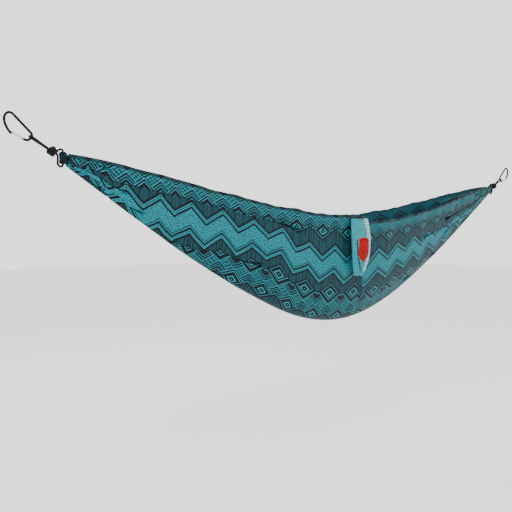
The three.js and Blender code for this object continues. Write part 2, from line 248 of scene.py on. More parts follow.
def smooth_path(points, step):
    """Evenly spaced points on a smooth line through the given ones."""
    given = np.array([tuple(point) for point in points])
    given = np.vstack([2 * given[0] - given[1], given, 2 * given[-1] - given[-2]])
    gaps = np.linalg.norm(np.diff(given, axis=0), axis=1) ** 0.5
    line = []
    for i in range(1, len(given) - 2):
        before, here, there, after = given[i - 1:i + 3]
        first, second, third = gaps[i - 1:i + 2]
        leave = there - here + second * ((here - before) / first - (there - before) / (first + second))
        arrive = there - here + second * ((after - there) / third - (after - here) / (second + third))
        t = np.linspace(0, 1, 30, endpoint=False)[:, None]
        line.append(here + leave * t + (3 * (there - here) - 2 * leave - arrive) * t ** 2
                    + (2 * (here - there) + leave + arrive) * t ** 3)
    line = np.vstack(line + [given[-2:-1]])
    run = run_along(line)
    even = np.linspace(0, run[-1], max(3, int(run[-1] / step) + 1))
    return np.stack([np.interp(even, run, line[:, axis]) for axis in range(3)], axis=1)


def tube_points(path, reach, sides, hint=(0.2, 1.0, 0.1)):
    """Rings round a path. reach(run, angle) is the radius; angle 0 lies towards the hint."""
    tangent = unit(np.gradient(path, axis=0))
    across = [np.array(hint) - tangent[0] * (np.array(hint) @ tangent[0])]
    for direction in tangent[1:]:
        across.append(across[-1] - direction * (across[-1] @ direction))
    across = unit(np.array(across))
    beside = np.cross(tangent, across)
    run = run_along(path)
    angle = np.linspace(0, 2 * np.pi, sides, endpoint=False)
    radius = reach(run[:, None], angle[None, :])
    rings = path[:, None] + radius[..., None] * (
        np.cos(angle)[None, :, None] * across[:, None] + np.sin(angle)[None, :, None] * beside[:, None])
    flat = np.stack(np.broadcast_arrays(run[:, None], angle[None, :] * radius.mean()), axis=2)
    return rings, flat


def tube(name, path, reach, sides, material, hint=(0.2, 1.0, 0.1)):
    """A tube piece along a path, closed at both ends."""
    rings, flat = tube_points(path, reach, sides, hint)
    return mesh_piece(name, rings, grid_faces(len(rings), sides, True, True), material, flat)


def braid(radius, strand):
    """The sheath of a cord: two families of strands that cross each other."""
    def reach(run, angle):
        twist = run * math.pi / strand
        lobes = round(math.pi * radius / strand)
        weave = np.maximum(np.abs(np.sin(lobes * angle + twist)), np.abs(np.sin(lobes * angle - twist)))
        return radius * (0.94 + 0.07 * weave)
    return reach


# Black nylon sheath: fine dull fibres, a little dusty where the strands stand proud.
black_cord, tree, surface = new_material("black_nylon_sheath")
fibre = noise(tree, flat_places(tree), 1400.0)
dust = add_node(tree, "ShaderNodeValToRGB", {0: fibre})
dust.color_ramp.elements[0].color = linear("#030304")
dust.color_ramp.elements[1].color = linear("#131416")
coat(tree, surface, {
    "Base Color": dust.outputs[0], "Roughness": 0.75, "IOR": 1.53, "Specular IOR Level": 0.12,
    "Sheen Weight": 0.02, "Normal": bump(tree, fibre, 0.4, 0.0003),
})


def along_pull(side, reach, out):
    """A place on the pull line from a gather, moved sideways."""
    return mirrored(side, -reach * math.cos(pull_slope), out, reach * math.sin(pull_slope))


for side in ("left", "right"):
    turn_radius = bar_radius + cord_radius + 0.0004
    route = [
        along_pull(side, knot_reach - 0.005, -strand_half_gap),
        along_pull(side, knot_reach + 0.008, -strand_half_gap),
        along_pull(side, 0.062, -strand_half_gap - 0.0006),
        along_pull(side, 0.092, -strand_half_gap - 0.0024),
    ]
    for quarter in np.linspace(-90, 90, 9):
        turn = math.radians(quarter)
        route.append(along_pull(side, cord_reach + turn_radius * math.cos(turn) - 0.001,
                                turn_radius * math.sin(turn)))
    route += [
        along_pull(side, 0.092, strand_half_gap + 0.0024),
        along_pull(side, 0.062, strand_half_gap + 0.0006),
        along_pull(side, knot_reach + 0.008, strand_half_gap),
        along_pull(side, knot_reach - 0.003, strand_half_gap),
        along_pull(side, knot_reach - 0.010, strand_half_gap),
    ]
    # round the top of the channel, through it, and back up the outside of the bunch
    for x, y, z in (
        (-16, 3.2, 17), (-11, 2, 24), (-3, 0.5, 28.2), (3.5, 0, 27.4), (6, 0, 21), (6, 0, 0),
        (6, 0, -21), (2.5, 0, -28), (-6, 0, -28.2), (-13.2, -0.5, -21.5), (-13.6, -1.5, -9),
        (-14.2, -3, 1), (-16.8, -4, 9),
    ):
        route.append(mirrored(side, x / 1000, y / 1000, z / 1000))
    route += [along_pull(side, knot_reach - 0.009, -strand_half_gap),
              along_pull(side, knot_reach - 0.0065, -strand_half_gap)]
    cord = tube(f"{side}_braided_cord", smooth_path(route, cord_step), braid(cord_radius, braid_strand),
                cord_sides, black_cord)
    belongs(cord, f"{side}_suspension", f"{side}_suspension_cord")

# ---- Knots --------------------------------------------------------------------------------
# The same cord closes its own loop with a barrel knot: three turns round both strands, and a
# riding turn that crosses them and tucks its tail under.

knot_radius = 0.0115
knot_pitch = 0.0073
tail_sunk = 0.0040                 # both ends of the coil dive under it
rider_lift = 0.0036                # the riding turn stands proud by this much
for side in ("left", "right"):
    route = []
    for step in range(0, 37):
        angle = 2 * math.pi * step / 12
        reach = knot_reach + knot_pitch * (step / 12 - 1.5)
        sunk = tail_sunk if step == 0 else 0
        route.append((reach, knot_radius - sunk, angle))
    for step in range(1, 11):
        share = step / 10
        lift = rider_lift * math.sin(math.pi * share) - tail_sunk * max(0, share - 0.8) / 0.2
        route.append((knot_reach + knot_pitch * (1.5 - 3 * share), knot_radius + lift,
                      2 * math.pi * (3 + 0.8 * share)))
    points = []
    for reach, radius, angle in route:
        out_y, out_up = radius * math.cos(angle), radius * math.sin(angle)
        points.append(mirrored(side, -reach * math.cos(pull_slope) + out_up * math.sin(pull_slope), out_y,
                               reach * math.sin(pull_slope) + out_up * math.cos(pull_slope)))
    knot = tube(f"{side}_barrel_knot", smooth_path(points, cord_step), braid(cord_radius, braid_strand),
                cord_sides, black_cord)
    belongs(knot, f"{side}_suspension", f"{side}_knot")

# ---- Carabiners ---------------------------------------------------------------------------
# A hot-forged aluminium D, anodised black, with a shallow rib either side of the bar and a
# rounded nose. The gate's wire ends sit in two drilled holes at the hinge.

spine_slope = math.radians(43)
crown_along = 0.0988
crown_across = 0.014
bar_squareness = 2.6
rib_depth = 0.00045
rib_set_in = 0.012                 # the ribs fade in over this length from each end of the bar


def in_carabiner(side, along, across, out=0.0):
    """A place in the D: along its back, across towards the gate, in metres."""
    a, b = along - crown_along, across - crown_across
    x = -a * math.cos(spine_slope) - b * math.sin(spine_slope)
    z = a * math.sin(spine_slope) - b * math.cos(spine_slope)
    return Vector((x if side == "left" else 2 * middle_x - x, out, z))


def bezier(start, lead, trail, end, count=14):
    """Points on one cubic curve in the plane, without its last point."""
    t = np.linspace(0, 1, count, endpoint=False)[:, None]
    start, lead, trail, end = (np.array(p, dtype=float) for p in (start, lead, trail, end))
    return (1 - t) ** 3 * start + 3 * (1 - t) ** 2 * t * lead + 3 * (1 - t) * t ** 2 * trail + t ** 3 * end


corner_turns = np.radians(np.linspace(270, 180, 8))
outline_mm = np.vstack([
    bezier((52, 50), (76, 50), (98, 40), (105, 26)),
    bezier((105, 26), (111, 13), (105, 0), (90, 0)),
    np.stack([np.linspace(90, 14, 10), np.zeros(10)], axis=1),
    np.stack([12 + 12 * np.cos(corner_turns), 12 + 12 * np.sin(corner_turns)], axis=1)[:-1],
    bezier((0, 12), (0, 25), (6, 33), (20, 33)),
    [(20, 33)],
])

# Anodised aluminium: near-black oxide over metal, satin, rubbed brighter in small patches.
anodised, tree, surface = new_material("anodised_aluminium")
places = object_places(tree)
wear = add_node(tree, "ShaderNodeMapRange", {0: noise(tree, places, 90.0, 6.0), 1: 0.60, 2: 0.72})
coat(tree, surface, {
    "Base Color": blend(tree, wear.outputs[0], "#0c0d0f", "#3c4044"), "Metallic": 0.85,
    "Roughness": 0.36, "Normal": bump(tree, noise(tree, places, 2500.0), 0.15, 0.0001),
})


def forged_bar(length):
    """The bar's section: rounded square, ribbed on its two flat sides, domed at both ends."""
    def reach(run, angle):
        square = (np.abs(np.cos(angle)) ** bar_squareness + np.abs(np.sin(angle)) ** bar_squareness)
        square = square ** (-1 / bar_squareness)
        groove = rib_depth * np.exp(-((np.sin(angle) / 0.3) ** 2))
        inset = np.clip(np.minimum(run, length - run) / rib_set_in, 0, 1)
        near_end = np.clip(np.minimum(run, length - run) / bar_radius, 0, 1)
        dome = np.sqrt(1 - (1 - near_end) ** 2) * 0.98 + 0.02
        return (bar_radius * 0.97 * square - groove * inset) * dome
    return reach


for side in ("left", "right"):
    path = smooth_path([in_carabiner(side, a / 1000, b / 1000) for a, b in outline_mm], 0.0008)
    length = float(np.linalg.norm(np.diff(path, axis=0), axis=1).sum())
    bar = tube(f"{side}_carabiner_bar", path, forged_bar(length), 28, anodised, (0, 1, 0))
    belongs(bar, f"{side}_carabiner", f"{side}_carabiner_frame")

# ---- Wire gates -----------------------------------------------------------------------------
# One bright stainless wire, bent into a narrow U. Its two ends turn inwards into the bar at the
# hinge, a few millimetres apart, so that the wire is its own spring.

wire_radius = 0.0014
# Drawn stainless steel: fine lines along the wire.
steel, tree, surface = new_material("stainless_wire")
stretch = add_node(tree, "ShaderNodeMapping", {"Vector": flat_places(tree), "Scale": (40.0, 4000.0, 1.0)})
lines = noise(tree, stretch.outputs[0], 1.0, 3.0)
gloss = add_node(tree, "ShaderNodeMapRange", {0: lines, 3: 0.18, 4: 0.38})
coat(tree, surface, {"Base Color": linear("#b9bcbe"), "Metallic": 1.0, "Roughness": gloss.outputs[0]})

for side in ("left", "right"):
    beside = bar_radius + wire_radius + 0.0003
    leg = [(17.5, 33, -0.0026), (16.2, 32.4, -0.0008), (17.5, 32.9, 0), (24, 35.5, 0), (38, 40.5, -0.0002),
           (50, 42.8, -0.0007), (55, 43.3, -0.0022), (57, 43.5, -0.0046)]
    points = [in_carabiner(side, a / 1000, b / 1000, -(beside + inset)) for a, b, inset in leg]
    points += [in_carabiner(side, a / 1000, b / 1000, beside + inset) for a, b, inset in reversed(leg)]
    wire = tube(f"{side}_gate_wire", smooth_path(points, 0.0008),
                lambda run, angle: np.full(np.broadcast(run, angle).shape, wire_radius), 14, steel)
    belongs(wire, f"{side}_gate", f"{side}_wire_gate")

# ---- The bed's centre panel -----------------------------------------------------------------
# The wide middle strip of printed parachute nylon, cut 3 m long. Both ends are gathered, so the
# cloth folds into deep tucks there and opens into one smooth hanging curve.

cloth_length = 3.0
cloth_width = 1.03
sag_bottom = 0.653
sag_edge = 0.175
far_edge_rise = 0.002
belly_half_width = 0.105
bunch_half_width = 0.014
bunch_half_height = 0.015
sag_rounding = 0.44
edge_power = 1.45
width_power = 1.7
wrap_middle = math.radians(88)
wrap_end = math.radians(92)
sack_x = 1.384                     # the sack's middle, from the left gather
dip_start = 0.060                  # the near edge dips from here past the sack's middle
dip_ramp = 0.03
dip_depth = 0.030
dip_end = 0.22                     # the share of the bed over which the dip closes at the right end
notch_place = 0.012                # a deeper notch lies just past the dip's start
notch_width = 0.013
notch_depth = 0.045
seam_drop = 0.066
bed_set_in = 0.019
stations = 320
section_steps = 480
steepest_fold = 1.6
outward_room = 0.004               # folds stand out of the smooth section by no more than this,
least_room = 0.006                 # and into it by no more than this
room_share = 0.85                  # and this share of the section's half width
ripple_height = 0.0036
ripple_reach = 0.06
ripple_fade = 0.8
far_ripple_turn = 1.9              # the far edge's ripple runs this far ahead, in radians
ripple_lift = 0.6                  # the ripple's height, beside its swing in and out,
ripple_shift = 9                   # and by how many stations it runs behind
print_per_metre = 0.965            # metres of print to a metre of the hung line


def bow(share):
    """0 at the gathered ends, 1 at the middle."""
    return np.sin(np.pi * np.clip(share, 0, 1))


def bed_section(share, turn):
    """The smooth section, y and z from the gather: turn -1 is the near edge, 0 the bottom.

    Past the sack the near edge dips, most of all right beside the sack's seam.
    """
    away = np.abs(2 * share - 1)
    rise = (np.hypot(away, sag_rounding) - sag_rounding) / (math.hypot(1, sag_rounding) - sag_rounding)
    low = -sag_bottom + (sag_bottom - bunch_half_height) * rise
    wrap = wrap_end + (wrap_middle - wrap_end) * bow(share)
    drop = (sag_edge + bunch_half_height) * bow(share) ** edge_power
    edge = bunch_half_height - drop + far_edge_rise * bow(share) * (turn > 0)
    wide = bunch_half_width + (belly_half_width - bunch_half_width) * bow(share) ** width_power
    angle = turn * wrap
    height = (1 - np.cos(angle)) / (1 - np.cos(wrap))
    past_sack = share * span - sack_x - dip_start
    dip = (dip_depth * np.clip(past_sack / dip_ramp, 0, 1) * np.clip((1.0 - share) / dip_end, 0, 1)
           + notch_depth * np.exp(-((past_sack - notch_place) / notch_width) ** 2))
    return wide * np.sin(angle), low + (edge - low) * height - dip * (turn < 0) * height ** 3


# Tucks: how far across the cloth each one lies from the near edge, half the cloth that it takes
# in at the gather, and how far it reaches from the left and from the right end, in metres.
tucks = [
    (0.032, 0.018, 0.20, 0.24), (0.103, 0.039, 1.20, 0.60), (0.177, 0.027, 0.28, 0.85),
    (0.239, 0.030, 0.36, 0.60), (0.294, 0.019, 0.20, 0.40), (0.352, 0.037, 0.98, 0.72),
    (0.423, 0.030, 0.50, 1.00), (0.486, 0.030, 0.75, 0.60), (0.555, 0.035, 0.95, 0.80),
    (0.629, 0.035, 0.70, 1.00), (0.704, 0.035, 1.00, 0.70), (0.778, 0.035, 0.65, 0.95),
    (0.849, 0.032, 0.95, 0.60), (0.918, 0.034, 0.50, 0.85), (0.987, 0.027, 0.75, 0.50),
]

tuck_fade = 0.75
tuck_roundness = 0.5
shallow_tuck = 0.55                # a tuck's width where it fades out, as a share of its full width,
deep_tuck = 0.45                   # and what its depth adds to that


def fold_pattern(share, across):
    """How far the cloth leans into the bed (plus) or out of it (minus), from 0 to 1."""
    from_left = share[:, None] * cloth_length
    from_right = cloth_length - from_left
    lean = np.zeros((len(share), len(across)))
    for centre, half, left_reach, right_reach in tucks:
        depth = np.maximum(np.clip(1 - from_left / left_reach, 0, 1),
                           np.clip(1 - from_right / right_reach, 0, 1)) ** tuck_fade
        place = (across[None, :] - centre) / (half * (shallow_tuck + deep_tuck * depth))
        wave = -np.sin(np.pi * place)
        lean += np.where(np.abs(place) < 1, depth * np.sign(wave) * np.abs(wave) ** tuck_roundness, 0)
    return lean


def slow_waves(share, across):
    """Shallow waves that slack cloth keeps everywhere, as a lean in radians."""
    along = share[:, None] * cloth_length
    waves = 0
    for lean, length, wander, pace, wander_start, start in (
        (0.09, 0.26, 0.3, 1.9, 0.6, 0.8), (0.04, 0.093, 0.4, 2.6, 0.0, 2.0),
    ):
        wandering = across / length + wander * np.sin(pace * along + wander_start)
        waves = waves + lean * np.sin(2 * np.pi * wandering + start)
    return waves * np.sin(np.pi * np.clip(across / cloth_width, 0, 1)) * bow(share)[:, None]


def steepen(lean, waves, wanted):
    """Leans each station's folds until the cloth is as narrow as the section there."""
    low, high = np.zeros(len(lean)), np.full(len(lean), 9.0)
    for _ in range(30):
        guess = (low + high) / 2
        folded = np.clip(lean * guess[:, None] + waves, -steepest_fold, steepest_fold)
        too_wide = np.cos(folded).mean(axis=1) * cloth_width > wanted
        low, high = np.where(too_wide, guess, low), np.where(too_wide, high, guess)
    return np.clip(lean * high[:, None] + waves, -steepest_fold, steepest_fold)


# the stations stand closer together towards the gathers
even_spacing = 0.55
end_spacing = 0.45
even = np.linspace(0, 1, stations)
spread = even_spacing * even + end_spacing * (1 - np.cos(np.pi * even)) / 2
bed_share = (bed_set_in + (span - 2 * bed_set_in) * spread) / span
base_y, base_z = bed_section(bed_share[:, None], np.linspace(-1, 1, section_steps + 1)[None, :])
girth_at = np.cumsum(np.hypot(np.diff(base_y, axis=1), np.diff(base_z, axis=1)), axis=1)
girth_at = np.concatenate([np.zeros((stations, 1)), girth_at], axis=1)
girth = girth_at[:, -1]
fine_across = np.linspace(0, cloth_width, 1601)
folded = steepen(fold_pattern(bed_share, fine_across), slow_waves(bed_share, fine_across), girth)
fine_step = fine_across[1]
forward = np.cumsum(np.cos(folded), axis=1) * fine_step
forward = (forward - forward[:, :1]) * (girth / (forward[:, -1] - forward[:, 0]))[:, None]
inward = np.cumsum(np.sin(folded), axis=1) * fine_step
inward -= inward[:, :1] + (inward[:, -1:] - inward[:, :1]) * (fine_across / cloth_width)[None, :]
room = least_room + room_share * np.abs(base_y).max(axis=1)[:, None]
inward = np.where(inward > 0, room * np.tanh(inward / room), outward_room * np.tanh(inward / outward_room))


def edge_ripple(across):
    """The slack edges wave a little out of the smooth curve, less and less down the side."""
    along = bed_share[:, None] * cloth_length
    from_edge = np.minimum(across, cloth_width - across)[None, :]
    fade = np.exp(-from_edge / ripple_reach) * bow(bed_share)[:, None] ** ripple_fade
    far = (across > cloth_width / 2)[None, :] * far_ripple_turn
    wave = 0
    for strength, length, start, far_share in (
        (1.0, 0.31, 0, 1.0), (0.7, 0.171, 2, 1.0), (0.5, 0.083, 0, 0.7),
    ):
        wave = wave + strength * np.sin(2 * np.pi * along / length + start + far_share * far)
    return ripple_height * wave * fade


def bed_points(across):
    """Points of the hung cloth: one row per station, one column per place across it."""
    points = np.zeros((stations, len(across), 3))
    probe = 0.0015
    for i in range(stations):
        at = np.interp(across, fine_across, forward[i])
        dy = np.interp(at + probe, girth_at[i], base_y[i]) - np.interp(at - probe, girth_at[i], base_y[i])
        dz = np.interp(at + probe, girth_at[i], base_z[i]) - np.interp(at - probe, girth_at[i], base_z[i])
        depth = np.interp(across, fine_across, inward[i]) / (np.hypot(dy, dz) + 1e-9)
        points[i, :, 0] = bed_share[i] * span
        points[i, :, 1] = np.interp(at, girth_at[i], base_y[i]) - dz * depth
        points[i, :, 2] = np.interp(at, girth_at[i], base_z[i]) + dy * depth
    ripple = edge_ripple(across)
    points[:, :, 1] += ripple
    points[:, :, 2] += ripple_lift * np.roll(ripple, ripple_shift, axis=0)
    return points + np.array(gather_left)


cloth_along = run_along(bed_points(np.array([0.35, 0.6])).mean(axis=1))
cloth_along = (cloth_along - cloth_along[-1] / 2) * print_per_metre


def cloth_map(across):
    """Flat-cloth places in metres: along from the middle, across from the near edge."""
    return np.stack(np.broadcast_arrays(cloth_along[:, None], across[None, :]), axis=2)


thread_scale = 700.0               # the weave's threads, far finer than the print


def faded(tree, dyed, cloud, spread):
    """Dyed cloth's colour, a little stronger or weaker from place to place."""
    fade = add_node(tree, "ShaderNodeMapRange", {0: cloud, 3: 1 - spread, 4: 1 + spread})
    colour = add_node(tree, "ShaderNodeVectorMath", {0: dyed, 1: fade.outputs[0]}, operation="MULTIPLY")
    return colour.outputs[0]


def print_material(name, teal, navy):
    """Printed nylon taffeta: navy dye over teal, in zigzags, fringes, diamonds and dots."""
    material, tree, surface = new_material(name)
    repeat_along = 0.1533          # metres from peak to peak
    unit_across = 0.172            # the finished cloth is drawn out a little across
    repeat_across = 2.29           # one whole pattern, in lengths of unit_across
    shift_along = 0.663
    shift_across = 0.957
    zigzag_slope = 0.66
    crossing_slope = 1.35
    places = flat_places(tree)
    flat = add_node(tree, "ShaderNodeSeparateXYZ", {0: places})

    def calc(operation, first, second=0.0, third=None):
        sockets = {0: first, 1: second} if third is None else {0: first, 1: second, 2: third}
        return add_node(tree, "ShaderNodeMath", sockets, operation=operation).outputs[0]

    def between(value, low, high):
        return calc("COMPARE", value, (low + high) / 2, (high - low) / 2)

    def any_of(*masks):
        whole = masks[0]
        for mask in masks[1:]:
            whole = calc("MAXIMUM", whole, mask)
        return whole

    def stripes(value, width, *places):
        return any_of(*[calc("COMPARE", value, place, width / 2) for place in places])

    along = calc("MULTIPLY_ADD", flat.outputs[0], 1 / repeat_along, shift_along)
    across = calc("MULTIPLY_ADD", flat.outputs[1], 1 / unit_across, shift_across)
    from_peak = calc("SUBTRACT", 0.5, calc("ABSOLUTE", calc("SUBTRACT", calc("FRACT", along), 0.5)))
    band = calc("FLOORED_MODULO", calc("MULTIPLY_ADD", from_peak, -zigzag_slope, across), repeat_across)
    cross = calc("MULTIPLY_ADD", from_peak, crossing_slope, band)

    # the two zigzags, each a pair of lines with dashes between, and the dotted field
    line = 0.024
    zigzags = stripes(band, line, 0.034, 0.122, 0.173, 1.785, 1.843)
    dashes = calc("MULTIPLY", stripes(band, 0.014, 0.148, 1.814),
                  calc("GREATER_THAN", calc("FRACT", calc("MULTIPLY", from_peak, 16.0)), 0.4))
    dot_cells = add_node(tree, "ShaderNodeTexVoronoi", {
        "Vector": add_node(tree, "ShaderNodeCombineXYZ", {0: along, 1: across}).outputs[0],
        "Scale": 25.0, "Randomness": 0.6,
    }, voronoi_dimensions="2D")
    field = calc("MULTIPLY", between(band, 1.915, 2.285),
                 calc("GREATER_THAN", dot_cells.outputs["Distance"], 0.31))
    # fringes of upright bars, each with its own strength
    bar = calc("MULTIPLY", from_peak, 34.0)
    strength = add_node(tree, "ShaderNodeTexWhiteNoise", {"W": calc("FLOOR", bar)}, noise_dimensions="1D")
    bar_tone = add_node(tree, "ShaderNodeMapRange", {0: strength.outputs["Value"], 3: 0.0, 4: 0.36})
    fringes = calc("MULTIPLY", calc("MAXIMUM", between(band, 0.246, 0.455), between(band, 1.375, 1.705)),
                   calc("MULTIPLY", bar_tone.outputs[0], calc("GREATER_THAN", calc("FRACT", bar), 0.30)))
    # the lattice between the fringes, whose lines run both ways
    cell_wide = between(cross, 1.081, 1.4675)
    lattice = any_of(
        calc("MULTIPLY", stripes(band, line * 0.7, 0.520), calc("LESS_THAN", cross, 0.90)),
        calc("MULTIPLY", stripes(band, line, 0.504, 0.817, 1.081, 1.308), cell_wide),
        calc("MULTIPLY", stripes(band, line * 0.7, 0.675, 0.745, 1.155, 1.219), cell_wide),
        calc("MULTIPLY", stripes(band, line * 0.8, 1.292), calc("GREATER_THAN", cross, 1.60)),
        calc("MULTIPLY", stripes(cross, line, 0.949, 1.081, 1.4675, 1.541), between(band, 0.495, 1.315)),
    )
    diamonds = []
    for band_centre, cross_centre, inner, outer in (
        (0.759, 0.759, 0.088, 0.130), (1.092, 1.767, 0.072, 0.110),
    ):
        reach = calc("MAXIMUM", calc("ABSOLUTE", calc("SUBTRACT", band, band_centre)),
                     calc("ABSOLUTE", calc("SUBTRACT", cross, cross_centre)))
        diamonds += [between(reach, inner, outer), calc("LESS_THAN", reach, 0.018)]
    cell = calc("MAXIMUM",
                calc("ABSOLUTE", calc("SUBTRACT", calc("FRACT", calc("MULTIPLY", band, 13.6)), 0.5)),
                calc("ABSOLUTE", calc("SUBTRACT", calc("FRACT", calc("MULTIPLY", cross, 9.1)), 0.5)))
    small = calc("MULTIPLY", between(cell, 0.14, 0.34),
                 calc("MULTIPLY", between(band, 0.84, 1.06), between(cross, 1.109, 1.439)))
    undyed = any_of(zigzags, dashes, field, fringes, lattice, small, *diamonds)

    colour = faded(tree, blend(tree, undyed, navy, teal), noise(tree, places, 7.0, 4.0), 0.14)
    # plain weave with a ripstop grid every 5 mm
    warp, weft = (add_node(tree, "ShaderNodeTexWave", {"Vector": places, "Scale": thread_scale},
                           bands_direction=way) for way in "XY")
    rip_x = calc("LESS_THAN", calc("FRACT", calc("MULTIPLY", flat.outputs[0], 200.0)), 0.12)
    rip_y = calc("LESS_THAN", calc("FRACT", calc("MULTIPLY", flat.outputs[1], 200.0)), 0.12)
    height = any_of(calc("MULTIPLY", warp.outputs["Fac"], weft.outputs["Fac"]), rip_x, rip_y)
    cloth = add_node(tree, "ShaderNodeBsdfPrincipled", {
        "Base Color": colour, "Roughness": 0.5, "IOR": 1.53, "Specular IOR Level": 0.15,
        "Sheen Weight": 0.04, "Sheen Roughness": 0.4, "Normal": bump(tree, height, 0.12, 0.0003),
    })
    # thin cloth lets a little light through
    glow = add_node(tree, "ShaderNodeBsdfTranslucent", {"Color": colour})
    both = add_node(tree, "ShaderNodeMixShader", {0: 0.18, 1: cloth.outputs[0], 2: glow.outputs[0]})
    tree.links.new(both.outputs[0], surface)
    return material


teal_dye = "#137c86"
navy_dye = "#020a15"
printed_nylon = print_material("printed_nylon", teal_dye, navy_dye)
# a darker copy of the same print, with painted shade in its dyes: for cloth that lies double in the hems,
# seams and channels, and for the far side panel, whose inner face lies in shade
printed_nylon_painted_shade = print_material("printed_nylon_painted_shade", "#0d4a55", "#020810")

centre_across = np.linspace(seam_drop, cloth_width - seam_drop, 261)
centre_panel = mesh_piece("centre_panel_cloth", bed_points(centre_across),
                          grid_faces(stations, len(centre_across)), printed_nylon, cloth_map(centre_across))
belongs(centre_panel, "hammock", "center_panel")

# ---- The bed's side panels --------------------------------------------------------------------
# A narrow strip of the same nylon runs along each long side of the centre panel, from the seam
# up to the edge hem. It takes most of the ripple of the slack edge.

hem_height = 0.013
for side in ("near", "far"):
    across = np.linspace(hem_height - 0.001, seam_drop, 22)
    across = across if side == "near" else cloth_width - across
    # the far panel takes the darker copy of the print: painted shade on its inner face
    panel = mesh_piece(f"{side}_side_panel_cloth", bed_points(across), grid_faces(stations, len(across)),
                       printed_nylon if side == "near" else printed_nylon_painted_shade, cloth_map(across))
    belongs(panel, "hammock", f"{side}_side_panel")

# ---- Hems, felled seams and stitching ------------------------------------------------------------
# Each long edge is rolled twice into a 13 mm hem. Each seam is folded flat and sewn twice. All of
# it is in navy polyester thread, at about four stitches to the centimetre and a half.


def folded_strip(name, across, half_thick, material):
    """A flat fold of cloth along the bed: a closed strip round the given places across it."""
    middle = bed_points(across)
    along = np.gradient(middle, axis=0)
    outward = np.cross(along, np.gradient(middle, axis=1))
    outward /= np.linalg.norm(outward, axis=2)[:, :, None] + 1e-12
    place = np.linspace(-1, 1, len(across))
    thick = half_thick * (1 - np.abs(place) ** 5)[None, :, None] + 0.0001
    rings = np.concatenate([middle + outward * thick, (middle - outward * thick)[:, ::-1]], axis=1)
    flat = cloth_map(np.concatenate([across, across[::-1]]))
    return mesh_piece(name, rings, grid_faces(stations, 2 * len(across), True, True), material, flat)


# Polyester sewing thread: dark, with a slight gloss.
thread, tree, surface = new_material("polyester_thread")
coat(tree, surface, {
    "Base Color": linear("#0c1c26"), "Roughness": 0.45, "IOR": 1.57,
    "Normal": bump(tree, noise(tree, object_places(tree), 3000.0), 0.3, 0.0001),
})

stitch_pitch = 0.0038
stitch_length = 0.0028
stitch_half_width = 0.00035
hem_half_thick = 0.0011
seam_half_thick = 0.0007
seam_half_width = 0.0035
seam_row_gap = 0.0022              # each row of a seam's stitches, from its middle
seam_proud = 0.0008
hem_row = 0.0105                   # the hem's row of stitches, from the edge


def stitch_row(name, line, body, lift):
    """Separate stitches, each a short spindle, along a line that lies on the cloth."""
    run = run_along(line)
    starts = np.arange(stitch_pitch, run[-1] - stitch_pitch, stitch_pitch)

    def on_line(distance):
        return np.stack([np.interp(distance, run, line[:, axis]) for axis in range(3)], axis=1)

    tail, head = on_line(starts), on_line(starts + stitch_length)
    forward_way = unit(head - tail)
    side_way = unit(np.cross(forward_way, lift))
    up_way = np.cross(side_way, forward_way)
    centre = (tail + head) / 2
    points = np.stack([tail, head] + [
        centre + stitch_half_width * (a * side_way + b * up_way)
        for a, b in ((1, 0), (0, 1), (-1, 0), (0, -1))
    ], axis=1)
    faces = []
    for n in range(len(starts)):
        ring = [6 * n + k for k in (2, 3, 4, 5)]
        for k in range(4):
            faces += [(6 * n, ring[k], ring[(k + 1) % 4]), (6 * n + 1, ring[(k + 1) % 4], ring[k])]
    row = mesh_piece(name, points, faces, thread)
    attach(row, body)
    return row


for side in ("near", "far"):
    out_way = np.array((0, -1, 0)) if side == "near" else np.array((0, 1, 0))

    def from_edge(distances, side=side):
        distances = np.asarray(distances)
        return distances if side == "near" else cloth_width - distances

    # hems and seams take the darker copy of the print: painted shade in their folds
    hem = folded_strip(f"{side}_rolled_hem", from_edge(np.linspace(0, hem_height, 9)),
                       hem_half_thick, printed_nylon_painted_shade)
    belongs(hem, "hammock", f"{side}_edge_hem")
    seam_across = from_edge(np.linspace(seam_drop - seam_half_width, seam_drop + seam_half_width, 7))
    seam = folded_strip(f"{side}_felled_seam", seam_across, seam_half_thick, printed_nylon_painted_shade)
    belongs(seam, "hammock", None)
    for row_name, distance, proud in (
        ("hem", hem_row, hem_half_thick),
        ("seam_upper", seam_drop - seam_row_gap, seam_proud),
        ("seam_lower", seam_drop + seam_row_gap, seam_proud),
    ):
        line = bed_points(from_edge([distance, distance + 0.001]))
        face = unit(np.cross(np.gradient(line[:, 0], axis=0), line[:, 1] - line[:, 0]))
        face *= np.sign(face @ out_way)[:, None]
        for which, way in (("outer", 1), ("inner", -1)):
            stitch_row(f"{side}_{row_name}_stitches_{which}", line[:, 0] + way * proud * face,
                       "hammock", out_way)

# ---- End channels ---------------------------------------------------------------------------------
# Each end of the cloth is turned back and sewn into a sleeve. It is scrunched along the upright
# run of the cord, so its plies stack up in ridges that carry on into the bed's tucks.

